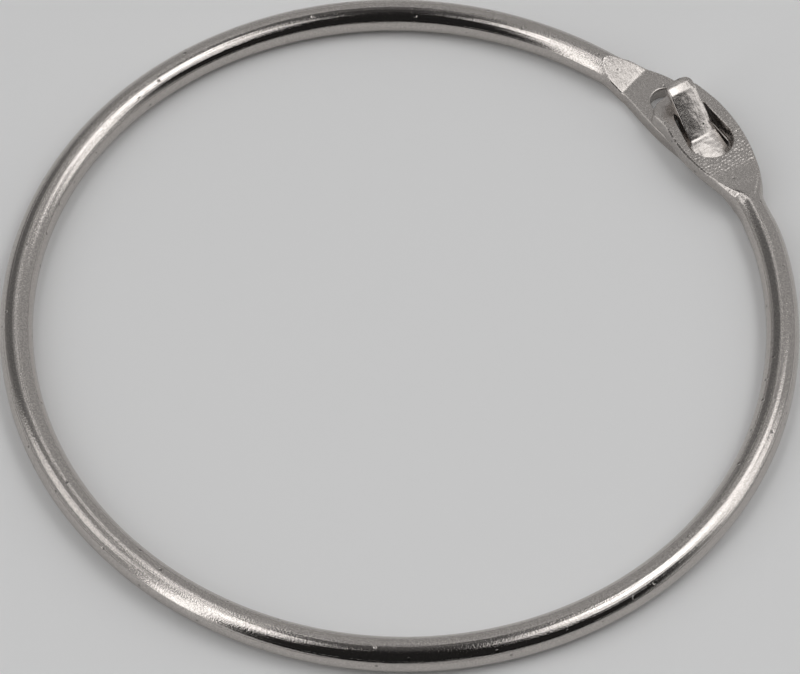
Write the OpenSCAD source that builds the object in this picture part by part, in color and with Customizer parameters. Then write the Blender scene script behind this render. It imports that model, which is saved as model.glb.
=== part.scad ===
// Quick-release ring: one length of round spring wire bent into a circle. Both ends of the
// wire are pressed flat and lapped. A tongue pierced out of the lower end leans up through
// the slot in the upper end, and its nose hooks over the bar at that end's tip.
//
// The ring lies flat on z = 0, with its centre on the Z axis and the lap across +Y. Along the
// ring, u is the distance round the wire's centreline from the middle of the lap, positive
// towards +X. On the lap itself, [x, y] points are taken from the centreline at u = 0, with y
// outwards. Heights inside the modules are from the wire's middle plane.

/* [Ring] */
// Outside diameter of the ring
ring_d = 76.2; // [70:0.1:90]
// Diameter of the round wire
wire_d = 3.175; // [3:0.025:3.3]

// Bend radius of the slacker stretch of wire that leads to the upper end
slack_r = 39; // [38:0.5:39.5]
// Where that stretch starts, measured from the middle of the lap
slack_from = 34; // [32:0.5:35]

/* [Pressed ends] */
// Where the wire starts to turn from round to flat, measured from the middle of the lap
flatten_from = 9.9; // [9.7:0.1:10.1]
// Where the thinning ramp meets the flat, measured from the middle of the lap
ramp_foot = 8.3; // [8.1:0.1:8.5]
// Slope of the ramp, in degrees
ramp_slope = 26; // [24:1:28]
// Gap between the two lapped faces
lap_gap = 0.1; // [0.06:0.01:0.14]
// Depth pressed off the outer faces
coin_depth = 0.05; // [0.03:0.01:0.07]
// Rounding left along the edges of the flats
edge_r = 0.25; // [0.2:0.05:0.3]
// Rounding of the two corners at each tip
tip_corner_r = 1.2; // [1.1:0.1:1.3]

/* [Lower end] */
// How far the lower end reaches past the middle of the lap
lower_reach = 4.8; // [4.7:0.1:5]
// Where the lower end's outer edge starts to flare
lower_out_from = 10.3; // [10:0.1:10.6]
// Where the lower end's outer edge stands furthest out
lower_out_at = 4; // [3.5:0.1:4.5]
// How far out that is from the wire's circle
lower_out = 3.42; // [3.35:0.01:3.5]
// How far out the lower end's outer edge stands near its tip
lower_out_tip = 2.7; // [2.6:0.05:2.8]
// Where the lower end's inner edge starts to flare
lower_in_from = 7.8; // [7.6:0.1:8]
// Where the lower end's inner edge stands furthest in
lower_in_at = 1.5; // [1.2:0.1:1.8]
// How far in that is from the wire's circle
lower_in = 2.53; // [2.45:0.01:2.6]
// How far in the lower end's inner edge stands near its tip
lower_in_tip = 2.15; // [2.1:0.05:2.25]

/* [Upper end] */
// How far the upper end reaches past the middle of the lap
upper_reach = 4.1; // [4.05:0.05:4.2]
// Where the upper end's outer edge starts to flare
upper_out_from = 10.2; // [10:0.1:10.4]
// Where the upper end's outer edge stands furthest out
upper_out_at = -0.3; // [-0.5:0.1:0]
// How far out that is from the wire's circle
upper_out = 3.8; // [3.75:0.01:3.85]
// How far out the upper end's outer edge stands near its tip
upper_out_tip = 3.65; // [3.55:0.05:3.7]
// Where the upper end's inner edge starts to flare
upper_in_from = 9.6; // [9.4:0.1:9.8]
// Where the upper end's inner edge stands furthest in
upper_in_at = 2.5; // [2.3:0.1:2.7]
// How far in that is from the wire's circle
upper_in = 3.1; // [3.05:0.01:3.15]
// How far in the upper end's inner edge stands near its tip
upper_in_tip = 2.5; // [2.4:0.05:2.6]
// How far the die nips in each side of the upper neck
upper_nip = 0.14; // [0.1:0.01:0.16]

/* [Slot] */
// Radius of the slot's round end
slot_r = 2.35; // [2.25:0.05:2.4]
// Radius of the two corners at the slot's blunt end
slot_corner_r = 0.9; // [0.8:0.05:1]
// Width of the slot at its blunt end
slot_blunt_w = 3.75; // [3.7:0.05:3.9]
// Width of the end bar that the tongue hooks over
end_bar_w = 2.2; // [2.1:0.05:2.25]

/* [Tongue] */
// Width of the tongue at its root
tongue_w = 2.9; // [2.8:0.05:2.95]
// Diameter of the tongue's rounded nose, seen from above
nose_d = 2.7; // [2.6:0.05:2.75]
// How far the tongue's own line turns outwards from the lap's, in degrees
tongue_turn = 5; // [4.5:0.5:5.5]
// Height of the nose above the wire's middle plane
nose_z = 3.5; // [3.4:0.05:3.6]
// Thickness of the nose
nose_t = 0.75; // [0.7:0.05:0.8]
// Half the width of the opening that the tongue leaves behind
window_r = 1.6; // [1.6:0.01:1.65]

/* [Hidden] */
$fn = 96;

nickel = [0.74, 0.73, 0.7];
wire_r = wire_d / 2;
bend_r = ring_d / 2 - wire_r;

// Lofted stretch of each end
loft_from = 16;
flat_by = 5;
neck_from = 17;
neck_by = 11;
neck_off = 0.22;
nip_at = 11.5;
nip_len = 2.5;
tip_pace = 1.3;
bury = 0.6;
bury_scale = 0.94;
meet_scale = 0.998;
section_points = 36;
neck_pitch = 1.3;
flare_steps = 18;
corner_step = 15;
cut_h = 4 * wire_d;
cut_w = 14;
face_z = -lap_gap / 2;
ramp_over = 0.2;
ramp_len = (wire_r - face_z) / tan(ramp_slope) + ramp_over;
press_len = 15.5;

// Slot, with its round end towards +X
slot_round_at = [2.45, 0.08];
slot_blunt_y = 0.6;
slot_blunt_x = end_bar_w - upper_reach;

// Window under the tongue
window_from = [-4.4, 0.5];
window_to = [0.3, 0.5];

// Tongue, drawn with its root crease at x = 0 and leaning towards -X
crease_at = [1.1, 0.5];
crease_z = 0.05;
root_len = 2.9;
root_in = 0.14;
front_run = 3.42;
nose_top_len = 0.8;
nose_rise = 0.15;
nose_back_len = 1.05;
nose_back_drop = 0.2;
underside_in = 0.15;
underside_z = underside_in - wire_r;
underside_at = 0.7;
underside_rise = 0.7;
sole_x = 0.1;
throat_lead = 0.32;
crease_r = 1.2;
bend_under_r = 1.5;
nose_edge_r = 0.2;
root_circle_x = 0.8;

// ---- Points and curves ----

// Angle round the ring, from +Y towards +X, of a distance u along the wire
function round_deg(u) = u / bend_r * 180 / PI;

// Point at distance u round the ring, out from the wire's circle and up from its middle plane
function on_ring(u, out, up) =
    [(bend_r + out) * sin(round_deg(u)), (bend_r + out) * cos(round_deg(u)), up];

function clamped(t) = min(max(t, 0), 1);

// Quarter of a sine wave: leaves 0 at a slope and levels off at 1
function ease_out(t) = sin(90 * clamped(t));

// Half a cosine wave: level at both 0 and 1
function ease_both(t) = (1 - cos(180 * clamped(t))) / 2;

function unit(v) = v / norm(v);

// Arc of radius r that rounds corner b of the path a, b, c
function rounded(a, b, c, r, steps = 6) =
    let (
        to_a = unit(a - b),
        to_c = unit(c - b),
        half = acos(to_a * to_c) / 2,
        centre = b + unit(to_a + to_c) * r / sin(half),
        first = b + to_a * r / tan(half) - centre,
        last = b + to_c * r / tan(half) - centre,
        start = atan2(first.y, first.x),
        turn = atan2(first.x * last.y - first.y * last.x, first * last)
    )
    [for (k = [0:steps]) centre + r * [cos(start + turn * k / steps), sin(start + turn * k / steps)]];

// The two points where a straight edge touches circles (a, ra) and (b, rb); side is 1 or -1
function tangent(a, ra, b, rb, side) =
    let (
        along = unit(b - a),
        lean = acos((ra - rb) / norm(b - a)) * side,
        out = [along.x * cos(lean) - along.y * sin(lean), along.x * sin(lean) + along.y * cos(lean)]
    )
    [a + ra * out, b + rb * out];

// ---- Pressed ends ----

// How far the slacker stretch stands outside the wire's circle at u
function slack_off(u) =
    let (
        turn = round_deg(u + slack_from),
        gap = slack_r - bend_r
    )
    sqrt(slack_r * slack_r - pow(gap * sin(turn), 2)) - gap * cos(turn) - bend_r;

// How far the upper neck's middle stands outside the wire's circle at u
function upper_neck(u) =
    let (t = ease_both((u + neck_from) / (neck_from - neck_by)))
    slack_off(u) * (1 - t) + neck_off * t;

// Half the width of a neck at u, with the nip that the die's corners leave
function neck_half(u, nip) =
    let (near = clamped(1 - abs(u + nip_at) / nip_len))
    wire_r - nip * ease_both(near);

// Distance from the wire's circle to one edge: it flares from the neck, then eases to the tip
function edge(u, start, from, at, widest, tip, reach) =
    u < -at
        ? start + (widest - start) * ease_out((u + from) / (from - at))
        : widest + (tip - widest) * ease_both(tip_pace * (u + at) / (reach + at));

// Outer and inner edges of the two ends at u, each as a distance from the wire's circle
function lower_edges(u) = [
    edge(u, neck_half(u, 0), lower_out_from, lower_out_at, lower_out, lower_out_tip, lower_reach),
    edge(u, neck_half(u, 0), lower_in_from, lower_in_at, lower_in, lower_in_tip, lower_reach)
];
function upper_edges(u) =
    let (
        half_w = neck_half(u, upper_nip),
        off = upper_neck(u)
    )
    [
        edge(u, half_w + off, upper_out_from, upper_out_at, upper_out, upper_out_tip, upper_reach),
        edge(u, half_w - off, upper_in_from, upper_in_at, upper_in, upper_in_tip, upper_reach)
    ];

// Cross-section between two edges at u: a circle that is pressed into a rounded rectangle
function section(u, edges, corner = 0, scale = 1) =
    let (
        half_w = (edges[0] + edges[1]) / 2 - corner,
        off = (edges[0] - edges[1]) / 2,
        flat = ease_both((u + flatten_from) / (flatten_from - flat_by)),
        r = wire_r + (edge_r - wire_r) * flat,
        side_r = min(r, half_w),
        half_h = wire_r + coin_depth * flat
    )
    [for (k = [0:section_points - 1])
        let (
            a = 360 * (k + 0.5) / section_points,
            out = sign(cos(a)) * (half_w - side_r) + side_r * cos(a),
            up = sign(sin(a)) * (half_h - r) + r * sin(a)
        )
        on_ring(u, off + scale * out, scale * up)];

// Closed skin over a row of cross-sections with n points each
module skin(sections) {
    n = len(sections[0]);
    last = len(sections) - 1;
    polyhedron(
        points = [for (s = sections) each s],
        faces = concat(
            [[for (k = [0:n - 1]) k]],
            [for (i = [0:last - 1]) for (k = [0:n - 1])
                [i * n + k, (i + 1) * n + k, (i + 1) * n + (k + 1) % n, i * n + (k + 1) % n]],
            [[for (k = [n - 1:-1:0]) last * n + k]]
        )
    );
}

// The widened end before its inner half is pressed away. It starts inside the round wire, and
// the upper one takes in the slack stretch.
module blank(upper, reach) {
    start = upper ? slack_from : loft_from;
    body_end = reach - tip_corner_r;
    neck_steps = ceil((start - flatten_from) / neck_pitch);
    neck_step = (start - flatten_from) / neck_steps;
    flare_pitch = (flatten_from + body_end) / flare_steps;
    function edges(u) = upper ? upper_edges(u) : lower_edges(u);
    skin(concat(
        [section(-start - bury, edges(-start - bury), scale = bury_scale)],
        [section(-start, edges(-start), scale = meet_scale)],
        [for (k = [1:neck_steps])
            let (u = k * neck_step - start)
            section(u, edges(u))],
        [for (k = [1:flare_steps])
            let (u = k * flare_pitch - flatten_from)
            section(u, edges(u))],
        [for (a = [corner_step:corner_step:90])
            let (u = body_end + tip_corner_r * sin(a))
            section(u, edges(u), tip_corner_r * (1 - cos(a)))]
    ));
}

// Everything above the lap's face and above the ramp that leads down to it
module press() {
    rotate([0, 0, round_deg(ramp_foot)])
        translate([0, bend_r + cut_w / 2, 0])
            rotate([90, 0, 0])
                linear_extrude(cut_w)
                    polygon([
                        [0, face_z],
                        [-ramp_len, face_z + ramp_len * tan(ramp_slope)],
                        [-ramp_len, cut_h],
                        [press_len, cut_h],
                        [press_len, face_z]
                    ]);
}

// One end of the wire, widened and pressed down to half its thickness
module pressed_end(upper, reach) {
    difference() {
        blank(upper, reach);
        translate([-cut_w, bend_r - cut_w / 2, -wire_r - cut_h])
            cube([2 * cut_w, cut_w, cut_h]);
        press();
    }
}

// The round wire, from the lower end's neck round the far side to the slack stretch
module wire() {
    lower_neck = 90 + round_deg(loft_from);
    slack = 450 - round_deg(slack_from);
    rotate([0, 0, lower_neck])
        rotate_extrude(angle = slack - lower_neck)
            translate([bend_r, 0])
                circle(r = wire_r);
}

// ---- Slot, window and tongue ----

// Straight-walled prism through the lap, from a flat shape placed from the lap's middle
module through_lap(height = cut_h) {
    translate([0, bend_r, -height / 2])
        linear_extrude(height)
            children();
}

module slot_shape() {
    spread = slot_blunt_w / 2 - slot_corner_r;
    corner_x = slot_blunt_x + slot_corner_r;
    outer = [corner_x, slot_blunt_y + spread];
    inner = [corner_x, slot_blunt_y - spread];
    translate(slot_round_at)
        circle(r = slot_r);
    for (c = [outer, inner])
        translate(c)
            circle(r = slot_corner_r);
    polygon(concat(
        tangent(slot_round_at, slot_r, outer, slot_corner_r, -1),
        [outer - [slot_corner_r, 0], inner - [slot_corner_r, 0]],
        [for (k = [1, 0]) tangent(slot_round_at, slot_r, inner, slot_corner_r, 1)[k]]
    ));
}

module window_shape() {
    for (c = [window_from, window_to])
        translate(c)
            circle(r = window_r);
    translate(window_from - [0, window_r])
        square([window_to.x - window_from.x, 2 * window_r]);
}

// Outline of the tongue from above: tapered, with a round nose
module tongue_shape() {
    root = [root_circle_x, 0];
    nose = [nose_d / 2 - front_run - nose_top_len - nose_back_len, 0];
    edge = tangent(root, tongue_w / 2, nose, nose_d / 2, 1);
    translate(root)
        circle(d = tongue_w);
    translate(nose)
        circle(d = nose_d);
    polygon([edge[0], edge[1], [edge[1].x, -edge[1].y], [edge[0].x, -edge[0].y]]);
}

// Side view of the tongue: a root that starts inside the lower end, a straight lean, and a
// nose that levels off over the end bar
module tongue_side() {
    front_top = [-front_run, nose_z];
    nose_top = front_top + [-nose_top_len, nose_rise];
    nose_tip = nose_top - [nose_back_len, nose_back_drop];
    nose_under = [nose_tip.x, nose_z - nose_t];
    throat = [-front_run - throat_lead * nose_t, nose_z - nose_t];
    heel = [-underside_at, underside_z + underside_rise];
    sole = [sole_x, underside_z];
    polygon(concat(
        [[root_len, -root_in]],
        rounded([root_len, -root_in], [0, crease_z], front_top, crease_r),
        rounded([0, crease_z], front_top, nose_top, nose_edge_r),
        rounded(front_top, nose_top, nose_tip, nose_edge_r),
        rounded(nose_top, nose_tip, nose_under, nose_edge_r),
        rounded(nose_tip, nose_under, throat, nose_edge_r),
        rounded(nose_under, throat, heel, nose_t / 2),
        rounded(throat, heel, sole, bend_under_r / 2),
        [sole, [root_len, underside_z]]
    ));
}

module tongue() {
    translate([crease_at.x, bend_r + crease_at.y, 0])
        rotate([0, 0, -tongue_turn])
            intersection() {
                rotate([90, 0, 0])
                    linear_extrude(2 * tongue_w, center = true)
                        tongue_side();
                linear_extrude(cut_h, center = true)
                    tongue_shape();
            }
}

// ---- The one piece ----

module lower_end() {
    difference() {
        pressed_end(false, lower_reach);
        through_lap()
            window_shape();
    }
    tongue();
}

// The same pressing turned over, with the slot in place of the tongue
module upper_end() {
    difference() {
        rotate([0, 180, 0])
            pressed_end(true, upper_reach);
        through_lap()
            slot_shape();
    }
}

module ring() {
    color(nickel)
        translate([0, 0, wire_r]) {
            wire();
            lower_end();
            upper_end();
        }
}

ring();
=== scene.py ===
# %% [markdown]
# # Quick-release ring
# One length of round spring wire is bent into a circle. Both of its ends are pressed flat in
# a die and lapped: a tongue pierced out of the lower end leans up through a slot in the upper
# end, and its nose hooks over the bar at that end's tip. The whole ring is nickel plated after
# forming, so one bright skin covers every cut edge and press mark.
#
# The wire is swept along its arc by Geometry Nodes. The pressed ends and the tongue are skins
# lofted over rows of cross-sections, because the die changes the wire's section little by
# little. Everything is drawn in millimetres and brought into metres at the end.

# %% Load the frame
import math

import bmesh
import bpy
import numpy as np
from mathutils import Matrix, Vector


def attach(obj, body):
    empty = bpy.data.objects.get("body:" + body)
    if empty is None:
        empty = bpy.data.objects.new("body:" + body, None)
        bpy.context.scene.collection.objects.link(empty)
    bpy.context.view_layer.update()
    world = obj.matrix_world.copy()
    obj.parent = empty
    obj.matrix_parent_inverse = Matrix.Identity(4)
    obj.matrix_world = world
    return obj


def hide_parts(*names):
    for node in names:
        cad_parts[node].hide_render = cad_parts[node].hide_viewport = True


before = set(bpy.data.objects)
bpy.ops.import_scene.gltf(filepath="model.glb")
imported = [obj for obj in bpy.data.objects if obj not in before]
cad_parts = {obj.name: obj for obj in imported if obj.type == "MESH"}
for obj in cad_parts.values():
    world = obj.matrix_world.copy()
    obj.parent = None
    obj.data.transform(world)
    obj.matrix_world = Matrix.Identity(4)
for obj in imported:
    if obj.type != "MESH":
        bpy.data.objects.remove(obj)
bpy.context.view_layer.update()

# %% [markdown]
# The ring is 3 inch stock: 1/8 inch wire, 76.2 mm across the outside. It lies flat on z = 0
# with its centre on the Z axis and the lap across +Y. Along the ring, u is the distance round
# the wire's centreline from the middle of the lap, positive towards +X.

# %% Wire and path
METRE = 0.001
RING_D = 76.2
WIRE_R = 3.175 / 2
BEND_R = RING_D / 2 - WIRE_R
SLACK_R = 39.0
SLACK_FROM = 34.0
AROUND = 96


def clamped(t):
    return min(max(t, 0.0), 1.0)


def ease_out(t):
    return math.sin(math.pi / 2 * clamped(t))


def ease_both(t):
    return (1 - math.cos(math.pi * clamped(t))) / 2


def on_ring(u, out, up):
    """Point at distance u round the ring, out from its circle and up from its middle plane."""
    angle = u / BEND_R
    return ((BEND_R + out) * math.sin(angle), (BEND_R + out) * math.cos(angle), up)


def slack_off(u):
    """How far the slacker stretch before the upper end stands outside the wire's circle."""
    turn = (u + SLACK_FROM) / BEND_R
    gap = SLACK_R - BEND_R
    return math.sqrt(SLACK_R**2 - (gap * math.sin(turn)) ** 2) - gap * math.cos(turn) - BEND_R


print("wire centreline radius", BEND_R)

# %% [markdown]
# A pressed end starts as the round wire. The die squares the section up, spreads it sideways
# and thins it from the inner face, down a short ramp, to just under half the wire's thickness,
# so that two ends stack to one wire. The steel spreads unevenly, so each edge has an outline
# of its own: how far before the lap's middle it starts to flare and is widest, how wide it is
# there, and how wide at the tip, all from the wire's circle. Each end's sizes sit together.
# The upper end also brings the slacker stretch before it back to the circle at its neck, where
# the die has nipped the wire a little.

# %% Sizes of the two ends
FLATTEN_FROM = 11.2
FLAT_BY = 7.4
RAMP_FOOT = 8.3
RAMP_SLOPE = math.radians(26)
RAMP_SOFT = 0.12
LAP_GAP = 0.1
OUTER_EDGE_R = 0.26
INNER_EDGE_R = 0.16
TIP_CORNER_R = 1.2
TIP_EDGE_R = 0.18
TIP_PACE = 1.3
FACE_Z = -LAP_GAP / 2
NECK_FROM = 17.0
NECK_BY = 11.0
NECK_OFF = 0.22
NIP_AT = 11.5
NIP_LEN = 2.5

LOWER = {
    "start": 16.0,
    "reach": 4.8,
    "nip": 0.0,
    "outer": (10.3, 4.0, 3.42, 2.7),
    "inner": (7.8, 1.5, 2.53, 2.15),
}
UPPER = {
    "start": SLACK_FROM,
    "reach": 4.1,
    "nip": 0.14,
    "outer": (10.2, -0.3, 3.8, 3.65),
    "inner": (9.6, 2.5, 3.1, 2.5),
}


def edge(u, neck, outline, reach):
    """Distance from the wire's circle to one edge: it flares from the neck and eases to the tip."""
    flare_from, widest_at, widest, tip = outline
    if u < -widest_at:
        return neck + (widest - neck) * ease_out((u + flare_from) / (flare_from - widest_at))
    return widest + (tip - widest) * ease_both(TIP_PACE * (u + widest_at) / (reach + widest_at))


def middle_and_half_width(u, end):
    """Where the middle of an end's section stands off the wire's circle, and half its width."""
    neck_half = WIRE_R - end["nip"] * ease_both(1 - abs(u + NIP_AT) / NIP_LEN)
    off = 0.0
    if end is UPPER:
        settled = ease_both((u + NECK_FROM) / (NECK_FROM - NECK_BY))
        off = slack_off(u) * (1 - settled) + NECK_OFF * settled
    outer = edge(u, neck_half + off, end["outer"], end["reach"])
    inner = edge(u, neck_half - off, end["inner"], end["reach"])
    return (outer - inner) / 2, (outer + inner) / 2


def pressed_height(u):
    """Height of the inner face at u: flat on the lap, then the ramp, with a soft foot."""
    past_foot = -(u + RAMP_FOOT)
    return FACE_Z + (past_foot + math.hypot(past_foot, RAMP_SOFT)) / 2 * math.tan(RAMP_SLOPE)


ramp_run = (WIRE_R - FACE_Z) / math.tan(RAMP_SLOPE)
print("ramp meets the wire's top at", round(RAMP_FOOT + ramp_run, 2), "mm before the lap's middle")

# %% [markdown]
# One cross-section is a circle or a rounded rectangle with its top cut off at the die's height.
# The cut's two corners are rounded as plated steel is. Points crowd where the outline turns
# sharply, so small roundings catch the light as smooth lines.

# %% Cross-section
ARC_POINTS = 24
CROWDING = 0.5


def arc(centre, r, start, end):
    """Points on a circle from one angle to another, both included."""
    turns = np.linspace(start, end, ARC_POINTS + 1)
    return np.stack([centre[0] + r * np.cos(turns), centre[1] + r * np.sin(turns)], axis=1)


def half_section(half_w, bottom, corner_r, top):
    """Right half of a section, from its bottom centre to its top centre."""
    side = half_w - corner_r
    low_centre = (side, bottom + corner_r)
    high_centre = (side, max(WIRE_R - corner_r, bottom + corner_r))
    if top >= WIRE_R:
        pieces = [
            (arc(low_centre, corner_r, -math.pi / 2, 0), corner_r),
            (arc(high_centre, corner_r, 0, math.pi / 2), corner_r),
        ]
    else:
        cut_r = min(INNER_EDGE_R, corner_r)
        cut_z = top - cut_r
        rise = max(cut_z - high_centre[1], 0) + min(cut_z - low_centre[1], 0)
        reach = math.sqrt(max((corner_r - cut_r) ** 2 - rise**2, 0))
        touch = math.atan2(rise, reach) if rise else 0.0
        pieces = [(arc(low_centre, corner_r, -math.pi / 2, min(touch, 0)), corner_r)]
        if touch > 0:
            pieces.append((arc(high_centre, corner_r, 0, touch), corner_r))
        pieces.append((arc((side + reach, cut_z), cut_r, touch, math.pi / 2), cut_r))

    points = np.concatenate([[(0, bottom)]] + [p for p, _ in pieces] + [[(0, min(top, WIRE_R))]])
    crowding = np.ones(len(points) - 1)
    at = 1
    for arc_points, r in pieces:
        crowding[at:at + len(arc_points) - 1] = 1 + CROWDING / r
        at += len(arc_points)
    lengths = np.hypot(*np.diff(points, axis=0).T) * crowding
    run = np.concatenate([[0], np.cumsum(lengths)])
    even = np.linspace(0, run[-1], AROUND // 2 + 1)
    return np.stack([np.interp(even, run, points[:, k]) for k in range(2)], axis=1)


def section(u, end, corner=0.0, inset=0.0):
    """Closed section at u. corner narrows it, and inset pulls every side in, to round the tip."""
    off, half_w = middle_and_half_width(u, end)
    flat = ease_both((u + FLATTEN_FROM) / (FLATTEN_FROM - FLAT_BY))
    corner_r = WIRE_R + (OUTER_EDGE_R - WIRE_R) * flat
    side = half_w - corner - inset
    corner_r = min(corner_r, side)
    right = half_section(side, inset - WIRE_R, corner_r, pressed_height(u) - inset)
    left = right[-2:0:-1] * (-1, 1)
    return [on_ring(u, off + out, up) for out, up in np.concatenate([right, left])]


print("points in a section:", len(section(-LOWER["start"], LOWER)))

# %% [markdown]
# An end's skin runs from the round wire to its blunt tip. Rows are close together where the
# section changes and far apart on the plain wire.

# %% Skin over sections
PLAIN_PITCH = 0.7
PRESSED_PITCH = 0.12
TIP_STEPS = 9
RAMP_TOP = 12.2


def mesh_object(name, points, faces):
    mesh = bpy.data.meshes.new(name)
    mesh.from_pydata([tuple(p) for p in points], [], faces)
    solid = bmesh.new()
    solid.from_mesh(mesh)
    bmesh.ops.recalc_face_normals(solid, faces=solid.faces)
    solid.to_mesh(mesh)
    solid.free()
    piece = bpy.data.objects.new(name, mesh)
    bpy.context.scene.collection.objects.link(piece)
    return piece


def skin(name, rows):
    """Closed skin over rows of equal length."""
    n = len(rows[0])
    points = [p for row in rows for p in row]
    faces = []
    for i in range(len(rows) - 1):
        for k in range(n):
            after = (k + 1) % n
            faces.append((i * n + k, i * n + after, (i + 1) * n + after, (i + 1) * n + k))
    last = (len(rows) - 1) * n
    faces.append([last + k for k in range(n)])
    faces.append(list(range(n - 1, -1, -1)))
    return mesh_object(name, points, faces)


def pressed_end(name, end):
    body_end = end["reach"] - TIP_CORNER_R
    plain = np.arange(-end["start"], -RAMP_TOP, PLAIN_PITCH)
    pressed = np.arange(-RAMP_TOP, body_end, PRESSED_PITCH)
    rows = [section(u, end) for u in np.concatenate([plain, pressed])]
    for a in np.linspace(0, math.pi / 2, TIP_STEPS):
        u = body_end + (TIP_CORNER_R - TIP_EDGE_R) * math.sin(a)
        rows.append(section(u, end, corner=TIP_CORNER_R * (1 - math.cos(a))))
    for a in np.linspace(0, math.pi / 2, TIP_STEPS)[1:]:
        u = end["reach"] - TIP_EDGE_R + TIP_EDGE_R * math.sin(a)
        rows.append(section(u, end, corner=TIP_CORNER_R, inset=TIP_EDGE_R * (1 - math.cos(a))))
    return skin(name, rows)


lower = pressed_end("lower_end", LOWER)
upper = pressed_end("upper_end", UPPER)
upper.data.transform(Matrix.Rotation(math.pi, 4, "Y"))
print("faces in the ends:", len(lower.data.polygons), len(upper.data.polygons))

# %% [markdown]
# The slot is pierced through the upper end and the window is what the tongue leaves in the
# lower end. Both outlines are taut bands round a few circles, so a point on the band is the
# one that reaches furthest in its direction. The cutter widens towards both faces, which
# leaves a rounded rim. The shear ran on past the tongue's crease on its outer side, so a slit
# goes on there beside the root.

# %% Pierced openings
SLOT_R = 2.35
SLOT_ROUND_AT = (2.45, 0.08)
SLOT_CORNER_R = 0.9
SLOT_BLUNT_W = 3.75
SLOT_BLUNT_Y = 0.6
END_BAR_W = 2.2
WINDOW_R = 1.6
WINDOW_FROM = (-4.4, 0.5)
WINDOW_TO = (0.3, 0.5)
SLIT_R = 0.9
SLIT_FROM = (0.3, 1.4)
SLIT_TO = (2.7, 1.3)
RIM_R = 0.14
RIM_STEPS = 6
BAND_POINTS = 144
OVERSHOOT = 1.0


def band(circles, grow):
    """Taut band round circles (x, y, r), pushed outwards by grow, in the lap's own axes."""
    points = []
    for turn in np.linspace(0, 2 * math.pi, BAND_POINTS, endpoint=False):
        way = (math.cos(turn), math.sin(turn))
        x, y, r = max(circles, key=lambda c: c[0] * way[0] + c[1] * way[1] + c[2])
        points.append((x + (r + grow) * way[0], y + (r + grow) * way[1]))
    return points


def cutter(name, circles, low, high):
    """Prism between two faces of the lap, flared by a quarter round at each face."""
    levels = []
    for a in np.linspace(0, math.pi / 2, RIM_STEPS):
        levels.append((RIM_R * (1 - math.sin(a)), RIM_R * (1 - math.cos(a))))
    bottom = [(low - OVERSHOOT, RIM_R)] + [(low + depth, grow) for grow, depth in levels]
    top = [(high - depth, grow) for grow, depth in reversed(levels)] + [(high + OVERSHOOT, RIM_R)]
    rows = []
    for z, grow in bottom + top:
        rows.append([(x, y + BEND_R, z) for x, y in band(circles, grow)])
    return skin(name, rows)


def combine(piece, other, operation):
    """Piece with other taken away from it or added to it, as one exact solid."""
    modifier = piece.modifiers.new(operation, "BOOLEAN")
    modifier.solver = "EXACT"
    modifier.operation = operation
    modifier.object = other
    graph = bpy.context.evaluated_depsgraph_get()
    result = bpy.data.meshes.new_from_object(piece.evaluated_get(graph))
    piece.modifiers.remove(modifier)
    piece.data = result
    bpy.data.objects.remove(other)


blunt_x = END_BAR_W - UPPER["reach"] + SLOT_CORNER_R
spread = SLOT_BLUNT_W / 2 - SLOT_CORNER_R
slot_circles = [
    (*SLOT_ROUND_AT, SLOT_R),
    (blunt_x, SLOT_BLUNT_Y + spread, SLOT_CORNER_R),
    (blunt_x, SLOT_BLUNT_Y - spread, SLOT_CORNER_R),
]
window_circles = [(*WINDOW_FROM, WINDOW_R), (*WINDOW_TO, WINDOW_R)]
slit_circles = [(*SLIT_FROM, SLIT_R), (*SLIT_TO, SLIT_R)]
combine(upper, cutter("slot", slot_circles, -FACE_Z, WIRE_R), "DIFFERENCE")
combine(lower, cutter("window", window_circles, -WIRE_R, FACE_Z), "DIFFERENCE")
combine(lower, cutter("slit", slit_circles, -WIRE_R, FACE_Z), "DIFFERENCE")
print("faces after piercing:", len(lower.data.polygons), len(upper.data.polygons))

# %% [markdown]
# The tongue is lanced on three sides and bent up about its root. Its front face starts as a
# slight rise out of the lower end, turns up at the crease, leans straight and ends over the end
# bar in a blunt nose with a top that still rises a little. Its outer front edge has a broad
# bevel, which fades out on the root. It is a skin between two rails, its front and its
# underside, given as (x, z) from the crease.

# %% Tongue
OUTER_REACH = (1.52, 1.45)
INNER_REACH = (1.58, 1.48)
ROOT_SPREAD = 0.35
NOSE_CORNER_R = 0.8
TONGUE_TURN = math.radians(5)
CREASE_AT = (1.35, 0.38)
BEVEL = ((0, 0.27), (0.02, 0.2), (0.06, 0.16), (0.18, 0.12), (0.3, 0.08), (0.42, 0.04), (0.54, 0))
BEVEL_AT_ROOT = 0.2
BEVEL_FULL_BY = 0.8
EDGE_ROOM = 0.9
INNER_FRONT_R = 0.14
UNDERSIDE_R = 0.2
STATIONS = 110
CORNER_POINTS = 13
NOSE_TIP_X = -5.25
AT_TIP = 0.001
FRONT = [(3.3, -0.16), (0, 0.48), (-3.9, 3.5), (-4.6, 3.75), (NOSE_TIP_X, 3.85), (NOSE_TIP_X, 3.45)]
FRONT_ROUNDING = [0.5, 0.35, 0.4, 0.14]
UNDER = [
    (3.3, -1.44),
    (0.3, -1.44),
    (-0.75, -0.75),
    (-4.15, 2.75),
    (NOSE_TIP_X, 3.08),
    (NOSE_TIP_X, 3.45),
]
UNDER_ROUNDING = [0.6, 0.75, 0.35, 0.2]


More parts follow.
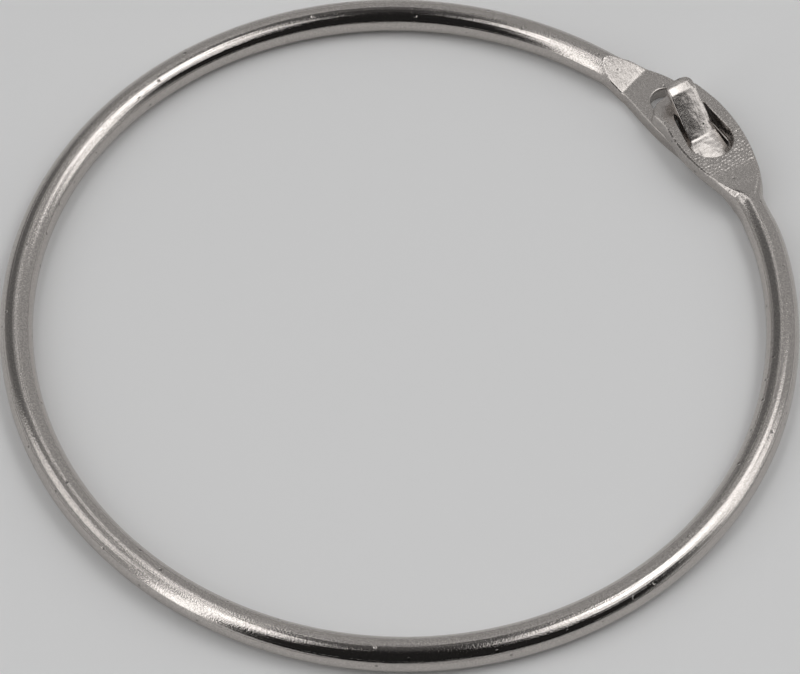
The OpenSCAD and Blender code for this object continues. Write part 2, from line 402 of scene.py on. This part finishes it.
def rounded_path(points, radii, count):
    """Evenly spaced points on a path whose inner corners are rounded."""
    corners = [np.array([points[0]], dtype=float)]
    for k, r in enumerate(radii):
        before, here, after = (np.array(points[k + j], dtype=float) for j in range(3))
        back = (before - here) / np.linalg.norm(before - here)
        ahead = (after - here) / np.linalg.norm(after - here)
        half = math.acos(float(np.clip(back @ ahead, -1, 1))) / 2
        cutback = r / math.tan(half)
        t = np.linspace(0, 1, CORNER_POINTS)[:, None]
        start, end = here + back * cutback, here + ahead * cutback
        corners.append((1 - t) ** 2 * start + 2 * t * (1 - t) * here + t**2 * end)
    corners.append(np.array([points[-1]], dtype=float))
    path = np.concatenate(corners)
    run = np.concatenate([[0], np.cumsum(np.hypot(*np.diff(path, axis=0).T))])
    even = np.linspace(0, run[-1], count)
    return np.stack([np.interp(even, run, path[:, k]) for k in range(2)], axis=1)


def tongue_reach(x):
    """How far the tongue reaches to its outer and inner side; its nose has round corners."""
    taper = clamped(x / NOSE_TIP_X)
    outer = OUTER_REACH[0] + (OUTER_REACH[1] - OUTER_REACH[0]) * taper
    inner = INNER_REACH[0] + (INNER_REACH[1] - INNER_REACH[0]) * taper
    inner += ROOT_SPREAD * ease_both(x / ROOT_SPREAD)
    into_corner = clamped((NOSE_TIP_X + NOSE_CORNER_R - x) / NOSE_CORNER_R)
    pulled_in = NOSE_CORNER_R * (1 - math.sqrt(1 - into_corner**2))
    return outer - pulled_in, inner - pulled_in


def bevelled(x, reach, half_t):
    """The bevel's steps in from the side and down from the face, smaller on the root."""
    share = BEVEL_AT_ROOT + (1 - BEVEL_AT_ROOT) * clamped(-x / BEVEL_FULL_BY)
    widest, deepest = BEVEL[-1][0], BEVEL[0][1]
    share = min(share, EDGE_ROOM * reach / widest, 2 * EDGE_ROOM * half_t / deepest)
    return [(share * inward, share * down) for inward, down in BEVEL]


def rounded(r, reach, half_t):
    """A round edge's steps in from the side and down from the face."""
    r = min(r, EDGE_ROOM * reach, EDGE_ROOM * half_t)
    turns = np.linspace(0, math.pi / 2, len(BEVEL))
    return [(r * (1 - math.cos(a)), r * (1 - math.sin(a))) for a in turns]


def tongue_row(front, under):
    """Section between a point on each rail: its four edges in turn, the bevelled one first."""
    middle = (front + under) / 2
    half_t = np.linalg.norm(front - under) / 2
    rise = (front - under) / np.linalg.norm(front - under)
    outer, inner = tongue_reach(middle[0])
    edges = (
        (outer, 1, bevelled(middle[0], outer, half_t)),
        (-inner, 1, rounded(INNER_FRONT_R, inner, half_t)[::-1]),
        (-inner, -1, rounded(UNDERSIDE_R, inner, half_t)),
        (outer, -1, rounded(UNDERSIDE_R, outer, half_t)[::-1]),
    )
    row = []
    for reach, face, steps in edges:
        for inward, down in steps:
            point = middle + rise * face * (half_t - down)
            row.append((point[0], reach - math.copysign(inward, reach), point[1]))
    return row


# Both rails end on the nose's flat tip, so the skin closes at the first station on it.
front_rail = rounded_path(FRONT, FRONT_ROUNDING, STATIONS)
under_rail = rounded_path(UNDER, UNDER_ROUNDING, STATIONS)
tongue_rows = []
for front, under in zip(front_rail, under_rail):
    tongue_rows.append(tongue_row(front, under))
    if max(front[0], under[0]) < NOSE_TIP_X + AT_TIP:
        break
tongue = skin("tongue", tongue_rows)
tongue.data.transform(Matrix.Rotation(-TONGUE_TURN, 4, "Z"))
tongue.data.transform(Matrix.Translation((CREASE_AT[0], BEND_R + CREASE_AT[1], 0)))
print("tongue rises", round(FRONT[4][1] - WIRE_R, 2), "mm above the upper end's face")

# %% [markdown]
# The round wire follows its arc, which starts at one neck, runs round the far side and ends at
# the other. A Geometry Nodes tree sweeps it, so its sizes are plain inputs. The sweep's ends
# stay open and meet the two pressed ends.

# %% Swept wire
WIRE_PITCH = 1.1
JOIN_GAP = 0.25


def wire_tree():
    tree = bpy.data.node_groups.new("wire along an arc", "GeometryNodeTree")
    tree.interface.new_socket("Geometry", in_out="INPUT", socket_type="NodeSocketGeometry")
    for name in ("Bend radius", "Wire radius", "Start angle", "Sweep angle"):
        tree.interface.new_socket(name, in_out="INPUT", socket_type="NodeSocketFloat")
    for name in ("Rings along", "Points around"):
        tree.interface.new_socket(name, in_out="INPUT", socket_type="NodeSocketInt")
    tree.interface.new_socket("Material", in_out="INPUT", socket_type="NodeSocketMaterial")
    tree.interface.new_socket("Geometry", in_out="OUTPUT", socket_type="NodeSocketGeometry")

    sizes = tree.nodes.new("NodeGroupInput")
    path = tree.nodes.new("GeometryNodeCurveArc")
    profile = tree.nodes.new("GeometryNodeCurvePrimitiveCircle")
    sweep = tree.nodes.new("GeometryNodeCurveToMesh")
    realize = tree.nodes.new("GeometryNodeRealizeInstances")
    paint = tree.nodes.new("GeometryNodeSetMaterial")
    result = tree.nodes.new("NodeGroupOutput")
    for source, node, socket in (
        (sizes.outputs["Rings along"], path, "Resolution"),
        (sizes.outputs["Bend radius"], path, "Radius"),
        (sizes.outputs["Start angle"], path, "Start Angle"),
        (sizes.outputs["Sweep angle"], path, "Sweep Angle"),
        (sizes.outputs["Points around"], profile, "Resolution"),
        (sizes.outputs["Wire radius"], profile, "Radius"),
        (path.outputs["Curve"], sweep, "Curve"),
        (profile.outputs["Curve"], sweep, "Profile Curve"),
        (sweep.outputs["Mesh"], realize, "Geometry"),
        (realize.outputs["Geometry"], paint, "Geometry"),
        (sizes.outputs["Material"], paint, "Material"),
        (paint.outputs["Geometry"], result, "Geometry"),
    ):
        tree.links.new(source, node.inputs[socket])
    return tree


def grown(name, tree, values):
    """Plain mesh object made by a tree from values given by the inputs' names."""
    piece = mesh_object(name, [], [])
    modifier = piece.modifiers.new(name, "NODES")
    modifier.node_group = tree
    for item in tree.interface.items_tree:
        if item.in_out == "INPUT" and item.name in values:
            modifier[item.identifier] = values[item.name]
    graph = bpy.context.evaluated_depsgraph_get()
    result = bpy.data.meshes.new_from_object(piece.evaluated_get(graph))
    piece.modifiers.remove(modifier)
    piece.data = result
    return piece


lower_angle = (LOWER["start"] + JOIN_GAP) / BEND_R
upper_angle = (UPPER["start"] + JOIN_GAP) / BEND_R
wire = grown("wire", wire_tree(), {
    "Bend radius": BEND_R,
    "Wire radius": WIRE_R,
    "Start angle": math.pi / 2 + lower_angle,
    "Sweep angle": 2 * math.pi - lower_angle - upper_angle,
    "Rings along": round((2 * math.pi - lower_angle - upper_angle) * BEND_R / WIRE_PITCH),
    "Points around": AROUND,
})
print("faces in the wire:", len(wire.data.polygons))

# %% [markdown]
# The tongue grows out of the lower end, and both ends grow out of the wire. The caps where
# they meet are opened and the rims bridged, which leaves one closed skin.

# %% One piece
SMOOTH_ANGLE = math.radians(32)
CAPS_PAST = LOWER["start"] / 2


def one_skin(name, parts):
    """Parts joined at their open rims, which pair up on each side of the lap."""
    skins = bmesh.new()
    for part in parts:
        skins.from_mesh(part.data)
        bpy.data.objects.remove(part)
    caps = [f for f in skins.faces if len(f.verts) == AROUND]
    caps = [f for f in caps if abs(f.calc_center_median().x) > CAPS_PAST]
    bmesh.ops.delete(skins, geom=caps, context="FACES_ONLY")
    for side in (1, -1):
        rims = [e for e in skins.edges if e.is_boundary and e.verts[0].co.x * side > 0]
        bmesh.ops.bridge_loops(skins, edges=rims)
    bmesh.ops.recalc_face_normals(skins, faces=skins.faces)
    bmesh.ops.translate(skins, verts=skins.verts, vec=(0, 0, WIRE_R))
    bmesh.ops.scale(skins, verts=skins.verts, vec=(METRE, METRE, METRE))
    open_edges = sum(1 for e in skins.edges if not e.is_manifold)
    piece = mesh_object(name, [], [])
    skins.to_mesh(piece.data)
    skins.free()
    piece.data.shade_smooth()
    piece.data.set_sharp_from_angle(angle=SMOOTH_ANGLE)
    print(name, "has", len(piece.data.polygons), "faces and", open_edges, "open edges")
    return piece


combine(lower, tongue, "UNION")
ring = one_skin("formed_ring", [wire, lower, upper])

# %% [markdown]
# Bright nickel over steel, faintly warm. It is one thin bright skin: what shows is the steel
# under it. On the wire that is the drawing die's lines along its length, and small pits. On
# the pressed ends the die's face left a satin, pebbled skin, calmer on the tongue, and on the
# upper end's outer face rows of small dents run across the paddle beside the slot.
#
# The patterns are worked out from the piece's own coordinates in millimetres: how far out and
# how high a point is from the wire's centreline, and how far round the ring from the lap. Each
# adds to the skin's height, its shade or its roughness. A stretch along u is given as its two
# ends and how softly it fades inside them.

# %% Shader helpers
def linked(tree, kind, inputs, **settings):
    """New shader node with its settings and inputs filled in; a socket is linked."""
    node = tree.nodes.new(kind)
    for name, value in settings.items():
        setattr(node, name, value)
    for name, value in inputs.items():
        if isinstance(value, bpy.types.NodeSocket):
            tree.links.new(value, node.inputs[name])
        else:
            node.inputs[name].default_value = value
    return node.outputs[0]


class Sums:
    """Arithmetic on sockets of one tree, written as calls."""

    def __init__(self, tree):
        self.tree = tree

    def op(self, operation, *values):
        return linked(self.tree, "ShaderNodeMath", dict(enumerate(values)), operation=operation)

    def scale(self, value, factor):
        return self.op("MULTIPLY", value, factor)

    def step(self, value, low, high):
        """0 at low, 1 at high and smooth between; low may be the larger."""
        inputs = {"Value": value, "From Min": low, "From Max": high}
        return linked(self.tree, "ShaderNodeMapRange", inputs, interpolation_type="SMOOTHSTEP")

    def between(self, value, low, high, soft):
        """1 between two limits, with soft edges inside them."""
        rise = self.step(value, low, low + soft)
        fall = self.step(value, high, high - soft)
        return self.op("MULTIPLY", rise, fall)

    def mix(self, factor, low, high):
        inputs = {0: factor, 2: low, 3: high}
        return linked(self.tree, "ShaderNodeMix", inputs, data_type="FLOAT")

    def dot(self, vector, other):
        node = self.tree.nodes.new("ShaderNodeVectorMath")
        node.operation = "DOT_PRODUCT"
        self.tree.links.new(vector, node.inputs[0])
        node.inputs[1].default_value = other
        return node.outputs["Value"]

    def vector(self, x, y, z):
        return linked(self.tree, "ShaderNodeCombineXYZ", {0: x, 1: y, 2: z})

    def noise(self, at, scale, detail, w=None):
        inputs = {"Vector": at, "Scale": scale, "Detail": detail}
        if w is None:
            return linked(self.tree, "ShaderNodeTexNoise", inputs, noise_dimensions="3D")
        return linked(self.tree, "ShaderNodeTexNoise", {**inputs, "W": w}, noise_dimensions="4D")

    def cells(self, at, scale, unevenness):
        """Distance to the nearest cell's centre."""
        inputs = {"Vector": at, "Scale": scale, "Randomness": unevenness}
        return linked(self.tree, "ShaderNodeTexVoronoi", inputs, feature="F1")


# %% Plating
NICKEL = (0.52, 0.487, 0.462)
PRESSED = (-12.4, 10.2, 1.8)

# Shades are the least and the most that the grain leaves of the colour. Roughness is given as
# its least and what the grain adds.
WIRE_SHADES = (0.84, 1.12)
PRESSED_SHADES = (0.82, 1.12)
WIRE_ROUGH = (0.02, 0.14)
PRESSED_ROUGH = (0.15, 0.2)

# The steel's skin: how fine each pattern is, how deep, and how much calmer on the tongue.
LINES_PER_MM = 5.0
LINE_STRETCH = 0.05
LINE_DEPTH = 0.032
PEEL_PER_MM = 7.0
PEEL_DEPTH = 0.012
SWELL_PER_MM = 1.1
SWELL_DEPTH = 0.05
TONGUE_LONG = (-4.0, 3.7, 0.3)
TONGUE_WIDE = (1.9, 1.6)
TONGUE_CALM = 0.65
MOTTLE = (0.3, 0.7)

# Pits, given by how many cells hold one and how far from its centre each begins and is full.
PITS_PER_MM = 0.6
PIT_REACH = (0.13, 0.05)
PIT_DEPTH = 0.03
# Painted shade: the pits are drawn darker in colour, as shade falls in them.
PIT_PAINTED_SHADE = 0.55

# Dents: their depth grows along u, and the tongue has none.
TOP_BAND = 0.3
TOP_SOFT = 0.2
DENT_PITCH = (0.34, 0.36)
DENT_UNEVEN = 0.45
DENTED = (-3.5, 7.2, 1.2)
DENTS_GROW = (0.5, 4.5)
DENT_DEPTH = (0.025, 0.065)
BESIDE_TONGUE = (1.7, 2.0)
PAST_TONGUE = (2.2, 2.8)

# The nip line: where it stands off the circle, how it bows, and where it is broken.
NIPPED = (-1.3, 7.0, 0.6)
NIP_LINE_OUT = 2.98
NIP_LINE_WIDEST = 2.5
NIP_LINE_BOW = 0.043
NIP_LINE_W = (0.12, 0.03)
NIP_BREAKS_PER_MM = 1.3
NIP_BREAKS = (0.32, 0.48)
NIP_DEPTH = 0.05
# Painted shade: the nip line's groove is drawn darker in colour, as shade falls in it.
NIP_PAINTED_SHADE = 0.25


def plate_coordinates(tree, sums):
    """Millimetre coordinates: the point itself, out, up, and distance round from the lap."""
    plain = tree.nodes.new("ShaderNodeTexCoord").outputs["Object"]
    point = linked(tree, "ShaderNodeVectorMath", {0: plain, "Scale": 1 / METRE}, operation="SCALE")
    split = tree.nodes.new("ShaderNodeSeparateXYZ")
    tree.links.new(point, split.inputs[0])
    x, y, z = split.outputs
    radius = sums.op("SQRT", sums.op("ADD", sums.op("MULTIPLY", x, x), sums.op("MULTIPLY", y, y)))
    out = sums.op("SUBTRACT", radius, BEND_R)
    up = sums.op("SUBTRACT", z, WIRE_R)
    round_from_lap = sums.scale(sums.op("ARCTAN2", x, y), BEND_R)
    return point, x, y, out, up, round_from_lap


def drawing_lines(sums, x, y, out, up):
    """Noise squeezed across the wire and stretched along it."""
    across = sums.scale(out, LINES_PER_MM), sums.scale(up, LINES_PER_MM)
    along = sums.scale(x, LINE_STRETCH), sums.scale(y, LINE_STRETCH)
    return sums.noise(sums.vector(*across, along[0]), 1.0, 3.0, w=along[1])


def pit_spots_with_shade(sums, point):
    """Small round spots, wherever a cell's centre happens to lie near the skin: dips whose darker
    colour is painted shade.
    """
    return sums.step(sums.cells(point, PITS_PER_MM, 1.0), *PIT_REACH)


def dent_heights(sums, x, y, out, u):
    """A nearly regular net of cells, deepest past the slot's round end and not on the tongue."""
    pitch_x, pitch_y = DENT_PITCH
    cell_at = sums.vector(sums.scale(x, 1 / pitch_x), sums.scale(y, 1 / pitch_y), 0.0)
    depth = sums.mix(sums.step(u, *DENTS_GROW), *DENT_DEPTH)
    depth = sums.op("MULTIPLY", sums.between(u, *DENTED), depth)
    beside = sums.step(sums.op("ABSOLUTE", out), *BESIDE_TONGUE)
    off_tongue = sums.op("MAXIMUM", beside, sums.step(u, *PAST_TONGUE))
    heights = sums.op("MULTIPLY", sums.cells(cell_at, 1.0, DENT_UNEVEN), depth)
    return sums.op("MULTIPLY", heights, off_tongue)


def nip_line_with_shade(sums, point, out, u):
    """A broken line along the inner edge, where the die's rim nipped the steel; its darker colour
    is painted shade in the groove.
    """
    from_widest = sums.op("SUBTRACT", u, NIP_LINE_WIDEST)
    bow = sums.scale(sums.op("MULTIPLY", from_widest, from_widest), NIP_LINE_BOW)
    off_line = sums.op("ABSOLUTE", sums.op("SUBTRACT", sums.op("ADD", out, NIP_LINE_OUT), bow))
    line = sums.op("MULTIPLY", sums.step(off_line, *NIP_LINE_W), sums.between(u, *NIPPED))
    unbroken = sums.step(sums.noise(point, NIP_BREAKS_PER_MM, 2.0), *NIP_BREAKS)
    return sums.op("MULTIPLY", line, unbroken)


def nickel():
    material = bpy.data.materials.new("nickel_plate")
    material.use_nodes = True
    tree = material.node_tree
    sums = Sums(tree)
    surface = tree.nodes["Principled BSDF"]
    surface.inputs["Metallic"].default_value = 1.0

    point, x, y, out, up, u = plate_coordinates(tree, sums)
    pressed = sums.between(u, *PRESSED)
    on_top = sums.between(up, WIRE_R - TOP_BAND, WIRE_R + TOP_BAND, TOP_SOFT)
    within = sums.step(sums.op("ABSOLUTE", out), *TONGUE_WIDE)
    on_tongue = sums.op("MULTIPLY", sums.between(u, *TONGUE_LONG), within)

    # The steel's own skin: lines and orange peel on the wire, satin over broad swells on the ends.
    lines = drawing_lines(sums, x, y, out, up)
    peel = sums.noise(point, PEEL_PER_MM, 2.0)
    swell = sums.noise(point, SWELL_PER_MM, 2.0)
    grain = sums.mix(sums.scale(on_tongue, TONGUE_CALM), peel, 0.5)
    wire_skin = sums.op("ADD", sums.scale(lines, LINE_DEPTH), sums.scale(peel, PEEL_DEPTH))
    pressed_skin = sums.op("ADD", sums.scale(grain, PEEL_DEPTH), sums.scale(swell, SWELL_DEPTH))
    mottle = sums.step(grain, *MOTTLE)
    height = sums.mix(pressed, wire_skin, pressed_skin)
    shade = sums.mix(pressed, sums.mix(mottle, *WIRE_SHADES), sums.mix(mottle, *PRESSED_SHADES))

    # Marks: pits everywhere, dents and the nip line on the upper end's outer face alone.
    pits_with_shade = pit_spots_with_shade(sums, point)
    dents = sums.op("MULTIPLY", dent_heights(sums, x, y, out, u), on_top)
    nip_groove_and_shade = sums.op("MULTIPLY", nip_line_with_shade(sums, point, out, u), on_top)
    height = sums.op("SUBTRACT", height, sums.scale(pits_with_shade, PIT_DEPTH))
    height = sums.op("ADD", height, sums.op("SUBTRACT", dents, sums.scale(nip_groove_and_shade, NIP_DEPTH)))
    # Painted shade: the pits and the nip line's groove are darkened in colour.
    shade = sums.op("MULTIPLY", shade, sums.mix(pits_with_shade, 1.0, PIT_PAINTED_SHADE))
    shade = sums.op("MULTIPLY", shade, sums.mix(nip_groove_and_shade, 1.0, NIP_PAINTED_SHADE))

    bump_inputs = {"Height": height, "Strength": 1.0, "Distance": METRE}
    tree.links.new(linked(tree, "ShaderNodeBump", bump_inputs), surface.inputs["Normal"])
    tinted = linked(tree, "ShaderNodeVectorMath", {0: NICKEL, "Scale": shade}, operation="SCALE")
    tree.links.new(tinted, surface.inputs["Base Color"])
    wire_rough = sums.op("ADD", sums.scale(lines, WIRE_ROUGH[1]), WIRE_ROUGH[0])
    pressed_rough = sums.op("ADD", sums.scale(grain, PRESSED_ROUGH[1]), PRESSED_ROUGH[0])
    tree.links.new(sums.mix(pressed, wire_rough, pressed_rough), surface.inputs["Roughness"])
    print("plating is worked out by", len(tree.nodes), "nodes")
    return material


ring.data.materials.append(nickel())

# %% [markdown]
# A pale table in a plain studio. On the camera's right stands a large soft box with a brighter
# core and a strip below it, on the left a tall strip and a weaker panel. A long panel hangs
# over the ring and a small one stands on the far side. The world is a plain grey that falls to
# a darker one in three directions, most of all behind the camera. A ring of bright metal shows
# what stands round it, and that is where its long highlights and dark bands come from.

# %% Stage and light
LAMP_DISTANCE = 0.6
TABLE_HALF = 0.8
TABLE_COLOUR = (0.88, 0.88, 0.88, 1)
TABLE_ROUGH = 0.9
WORLD_LEVEL = 0.44
SEEN_LEVEL = 0.62
WHITE = (1, 1, 1, 1)

# Azimuth and elevation, the cosines at which each begins and is full, and what is left of the grey.
DARK_SIDES = (
    (66, 35, 0.5, 0.72, 0.05),
    (232, 80, 0.92, 0.99, 0.25),
    (281, 33, 0.84, 0.98, 0.4),
)


def toward(azimuth, elevation):
    """Unit vector; azimuth runs from -Y towards +X."""
    a, e = math.radians(azimuth), math.radians(elevation)
    return Vector((math.sin(a) * math.cos(e), -math.cos(a) * math.cos(e), math.sin(e)))


def soft_box(name, azimuth, elevation, wide, tall, brightness):
    """Panel that faces the ring and spans so many degrees; brightness is what a mirror shows."""
    lamp = bpy.data.lights.new(name, "AREA")
    lamp.shape = "RECTANGLE"
    lamp.size = 2 * LAMP_DISTANCE * math.tan(math.radians(wide / 2))
    lamp.size_y = 2 * LAMP_DISTANCE * math.tan(math.radians(tall / 2))
    lamp.energy = brightness * math.pi * lamp.size * lamp.size_y
    holder = bpy.data.objects.new(name, lamp)
    bpy.context.scene.collection.objects.link(holder)
    holder.location = LAMP_DISTANCE * toward(azimuth, elevation)
    holder.rotation_euler = holder.location.to_track_quat("Z", "Y").to_euler()


def table():
    half = TABLE_HALF
    corners = [(-half, -half, 0), (half, -half, 0), (half, half, 0), (-half, half, 0)]
    floor = mesh_object("table", corners, [(0, 1, 2, 3)])
    material = bpy.data.materials.new("pale_paper")
    material.use_nodes = True
    surface = material.node_tree.nodes["Principled BSDF"]
    surface.inputs["Base Color"].default_value = TABLE_COLOUR
    surface.inputs["Roughness"].default_value = TABLE_ROUGH
    floor.data.materials.append(material)
    return floor


def studio():
    """World: the grey with its dark sides lights the ring, and the camera sees a pale one."""
    world = bpy.data.worlds.new("studio")
    world.use_nodes = True
    tree = world.node_tree
    sums = Sums(tree)
    way = tree.nodes.new("ShaderNodeTexCoord").outputs["Generated"]
    level = WORLD_LEVEL
    for azimuth, elevation, rim, middle, left_over in DARK_SIDES:
        dark = sums.step(sums.dot(way, toward(azimuth, elevation)), rim, middle)
        level = sums.op("MULTIPLY", sums.mix(dark, 1.0, left_over), level)
    seen = tree.nodes.new("ShaderNodeLightPath").outputs["Is Camera Ray"]
    background = tree.nodes["Background"]
    background.inputs["Color"].default_value = WHITE
    tree.links.new(sums.mix(seen, level, SEEN_LEVEL), background.inputs["Strength"])
    return world


floor = table()
soft_box("right_box", azimuth=145, elevation=64, wide=48, tall=25, brightness=1.5)
soft_box("right_core", azimuth=148, elevation=66, wide=14, tall=10, brightness=2.1)
soft_box("right_strip", azimuth=146, elevation=35, wide=22, tall=34, brightness=1.1)
soft_box("left_strip", azimuth=4, elevation=38, wide=15, tall=75, brightness=1.7)
soft_box("left_panel", azimuth=325, elevation=40, wide=28, tall=30, brightness=0.75)
soft_box("top_panel", azimuth=302, elevation=74, wide=44, tall=8, brightness=1.4)
soft_box("far_panel", azimuth=240, elevation=58, wide=10, tall=4, brightness=0.75)
bpy.context.scene.world = studio()
bpy.context.scene.view_settings.view_transform = "Standard"

# %% [markdown]
# The camera stands a third of a metre off and looks down on the ring at about a third of a
# right angle from straight above.

# %% Camera
SENSOR_W = 36.0
CAMERA_TURN = math.radians(50.5)
CAMERA_TILT = 0.586821
CAMERA_ROLL = 0.0387992
CAMERA_DISTANCE = 334.37
FOCAL_PX = 3501.16
FRAME_W_PX = 800
SHIFT_PX = -21.4785
CLIP_START = 0.01

lens = bpy.data.cameras.new("camera")
lens.sensor_width = SENSOR_W
lens.lens = SENSOR_W * FOCAL_PX / FRAME_W_PX
lens.shift_y = SHIFT_PX / FRAME_W_PX
lens.clip_start = CLIP_START
camera = bpy.data.objects.new("camera", lens)
bpy.context.scene.collection.objects.link(camera)
camera.matrix_world = (
    Matrix.Translation((0, 0, WIRE_R * METRE))
    @ Matrix.Rotation(CAMERA_TURN, 4, "Z")
    @ Matrix.Rotation(CAMERA_TILT, 4, "X")
    @ Matrix.Rotation(CAMERA_ROLL, 4, "Z")
    @ Matrix.Translation((0, 0, CAMERA_DISTANCE * METRE))
)
bpy.context.scene.camera = camera

# %% Hand over
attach(ring, "root")
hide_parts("ring")
